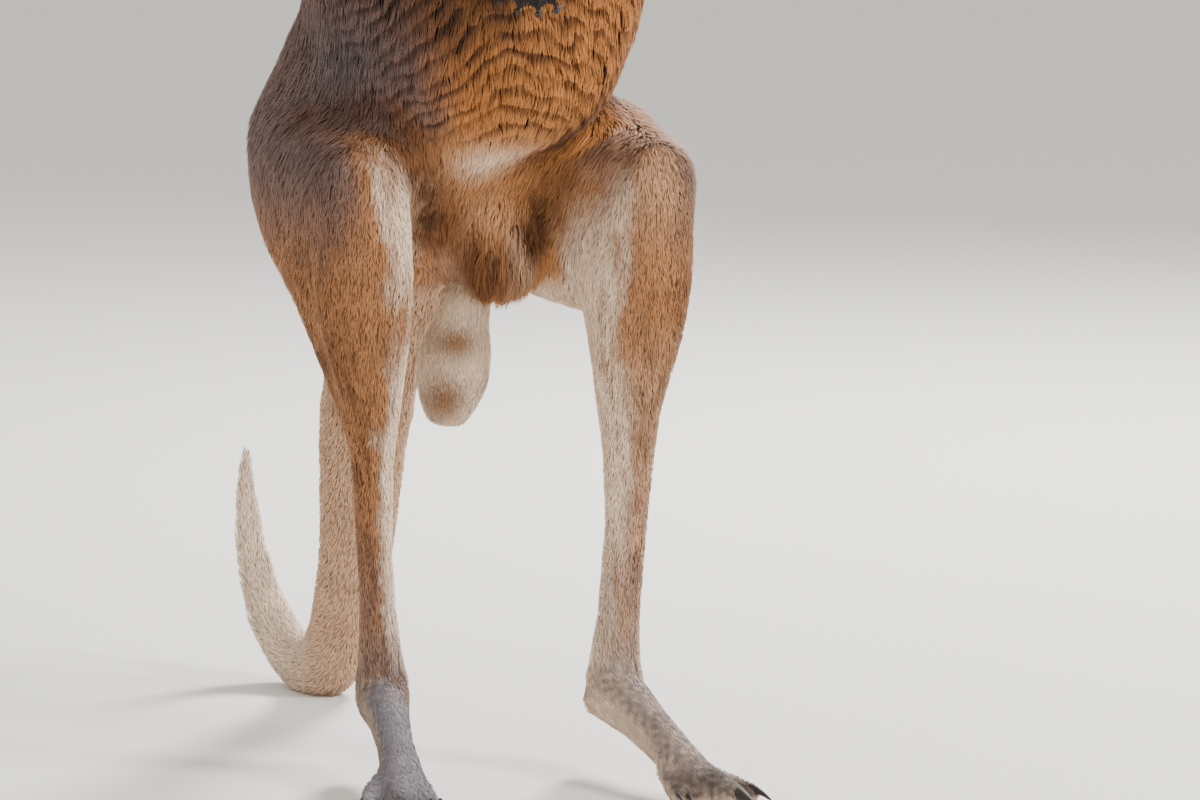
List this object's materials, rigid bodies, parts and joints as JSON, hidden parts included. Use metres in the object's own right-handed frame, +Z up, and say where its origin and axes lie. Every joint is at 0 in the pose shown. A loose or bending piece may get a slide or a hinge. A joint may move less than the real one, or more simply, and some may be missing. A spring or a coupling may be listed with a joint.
{
  "type": "male red kangaroo",
  "caption": "Life-size adult male red kangaroo standing tall on its toes and propped on its tail, arms hanging with curled hands, head turned slightly to its right.",
  "frame": {"origin": "on the floor, under the middle of the bounding box", "axes": "+Z up; the animal faces -Y; its left side is +X"},
  "size_m": [0.472, 1.0496, 1.5863],
  "materials": {
    "fur_rust": "short dense rust-brown fur",
    "fur_pale": "short cream and buff fur",
    "fur_dark": "very short dark brown fur",
    "skin_pale": "thin-haired skin",
    "claw_horn": "black horn",
    "eye_dark": "wet dark brown eye"
  },
  "bodies": {
    "root": {"ear_left": "fur_rust", "ear_right": "fur_rust", "eye_left": "eye_dark", "eye_right": "eye_dark", "finger_claw_1_left": "claw_horn", "finger_claw_1_right": "claw_horn", "finger_claw_2_left": "claw_horn", "finger_claw_2_right": "claw_horn", "finger_claw_3_left": "claw_horn", "finger_claw_3_right": "claw_horn", "finger_claw_4_left": "claw_horn", "finger_claw_4_right": "claw_horn", "finger_claw_5_left": "claw_horn", "finger_claw_5_right": "claw_horn", "foot_left": "fur_dark", "foot_right": "fur_dark", "forearm_left": "fur_rust", "forearm_right": "fur_rust", "hand_left": "fur_dark", "hand_right": "fur_dark", "head": "fur_rust", "neck": "fur_rust", "scrotum": "skin_pale", "shin_left": "fur_pale", "shin_right": "fur_pale", "tail_base": "fur_pale", "tail_bend": "fur_pale", "tail_middle": "fur_pale", "tail_tip": "fur_pale", "thigh_left": "fur_rust", "thigh_right": "fur_rust", "toe_claw_2_left": "claw_horn", "toe_claw_2_right": "claw_horn", "toe_claw_3_left": "claw_horn", "toe_claw_3_right": "claw_horn", "toe_claw_4_left": "claw_horn", "toe_claw_4_right": "claw_horn", "toe_claw_5_left": "claw_horn", "toe_claw_5_right": "claw_horn", "trunk": "fur_rust", "upper_arm_left": "fur_rust", "upper_arm_right": "fur_rust"}
  },
  "joints": []
}
